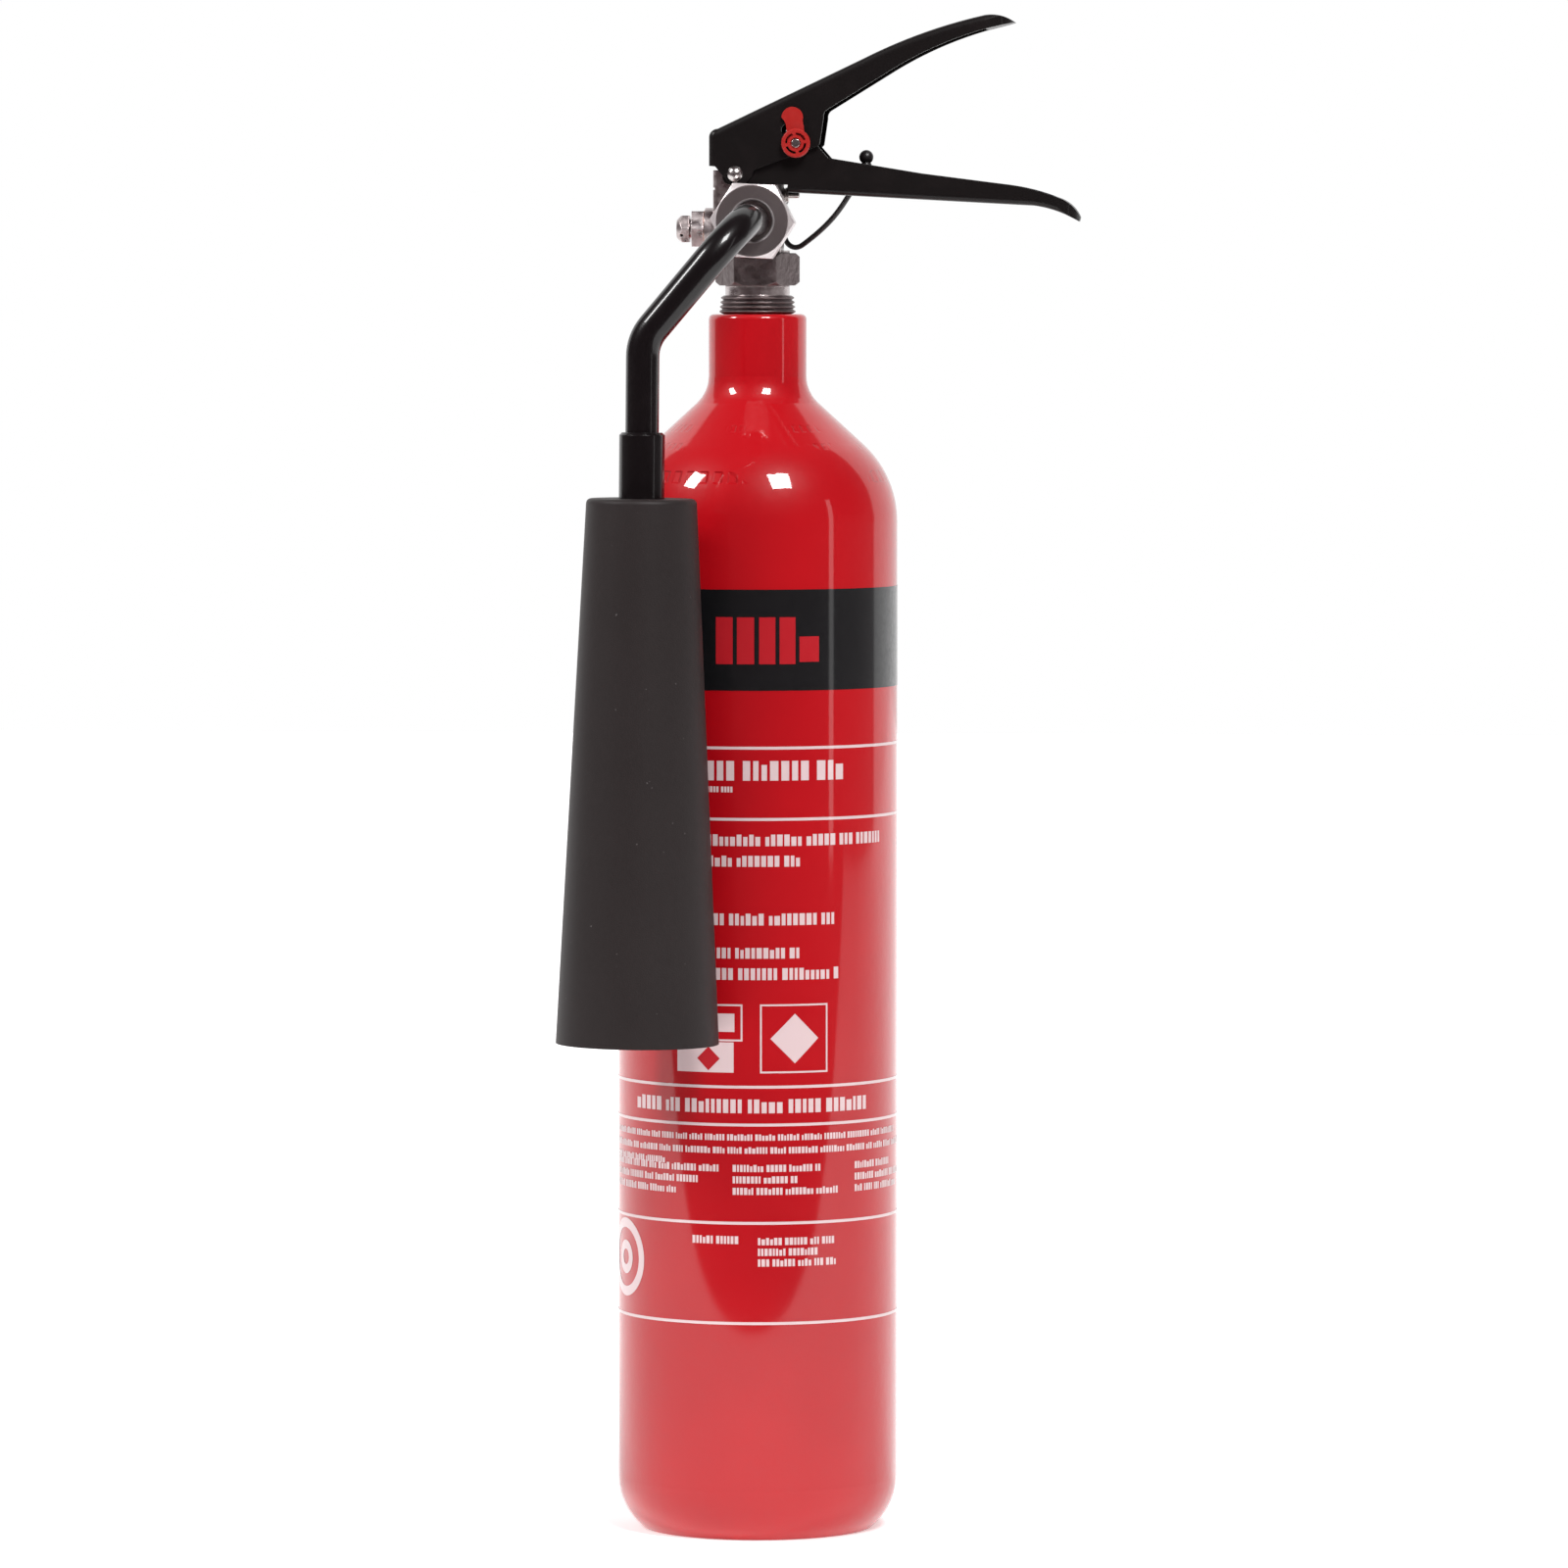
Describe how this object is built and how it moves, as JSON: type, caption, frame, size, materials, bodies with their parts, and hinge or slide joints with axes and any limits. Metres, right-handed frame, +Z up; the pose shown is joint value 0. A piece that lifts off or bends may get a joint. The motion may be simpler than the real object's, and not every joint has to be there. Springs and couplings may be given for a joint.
{
  "type": "fire extinguisher",
  "caption": "Portable gas fire extinguisher: tall red cylinder, squeeze-grip valve with two black handles, and a black horn on a swivelling bent tube.",
  "frame": {"origin": "centre of the cylinder's foot, on the floor plane", "axes": "+Z up along the cylinder's axis; +X towards the free ends of the two handles; -Y the way the valve's outlet faces"},
  "size_m": [0.1959, 0.1619, 0.5846],
  "materials": {
    "painted_shell": "gloss red paint",
    "plated_brass": "nickel plated, satin to bright",
    "bare_brass": "machined",
    "copper": "soft, dull",
    "bright_steel": "bright",
    "zinc_steel": "zinc plated",
    "bare_aluminium": "drawn",
    "black_tube": "gloss black",
    "black_handle": "semi-gloss black",
    "horn_plastic": "fine matt grain",
    "red_plastic": "moulded red",
    "black_plastic": "moulded black",
    "nitrile": "matt black",
    "nylon": "natural"
  },
  "bodies": {
    "extinguisher": {"cylinder_shell": "painted_shell", "valve_body": "plated_brass", "outlet_nut": "plated_brass", "swivel_washer": "nylon", "burst_washer": "copper", "burst_holder": "plated_brass", "burst_disc": "copper", "burst_cap": "plated_brass", "carry_handle": "black_handle", "pivot_rivet": "bright_steel", "handle_screw": "zinc_steel", "gland_nut": "plated_brass", "stem_o_ring": "nitrile", "spring_retainer": "bare_brass", "dip_tube": "bare_aluminium", "valve_spring": "bright_steel", "tamper_tag": "red_plastic", "tamper_ring": "red_plastic", "tether": "black_plastic", "tether_ball": "black_plastic"},
    "lever": {"squeeze_lever": "black_handle"},
    "stem": {"valve_stem": "bright_steel", "valve_poppet": "bare_brass", "poppet_seal": "nylon"},
    "horn": {"swivel_tail": "zinc_steel", "swivel_o_ring": "nitrile", "horn_tube": "black_tube", "horn_ferrule": "black_tube", "gas_orifice": "bare_brass", "horn_bell": "horn_plastic", "horn_lock_nut": "zinc_steel"},
    "pin": {"safety_pin": "bright_steel", "tether_eyelet": "black_plastic"},
    "ring": {"pull_ring": "bright_steel"}
  },
  "joints": [
    {"name": "lever_pivot", "type": "hinge", "parent": "extinguisher", "child": "lever", "pos_m": [-0.0076, 0, 0.52365], "axis": [0, 1, 0], "range_deg": [0, 13], "stiffness_Nm_per_rad": 2, "springref_deg": -17.19},
    {"name": "stem_slide", "type": "slide", "parent": "extinguisher", "child": "stem", "axis": [0, 0, -1], "range_m": [0, 0.003], "deforming": ["valve_spring"]},
    {"name": "horn_swivel", "type": "hinge", "parent": "extinguisher", "child": "horn", "pos_m": [0, -0.0225, 0.50565], "axis": [0, 1, 0], "range_deg": [0, 180]},
    {"name": "pin_pull", "type": "slide", "parent": "extinguisher", "child": "pin", "axis": [0, 1, 0], "range_m": [0, 0.05]},
    {"name": "ring_swing", "type": "hinge", "parent": "pin", "child": "ring", "pos_m": [0.0159, 0.025, 0.5354], "axis": [1, 0, 0], "range_deg": [-10, 90]}
  ],
  "couplings": [
    {"joint": "stem_slide", "follows": "lever_pivot", "m_per_rad": 0.013}
  ]
}
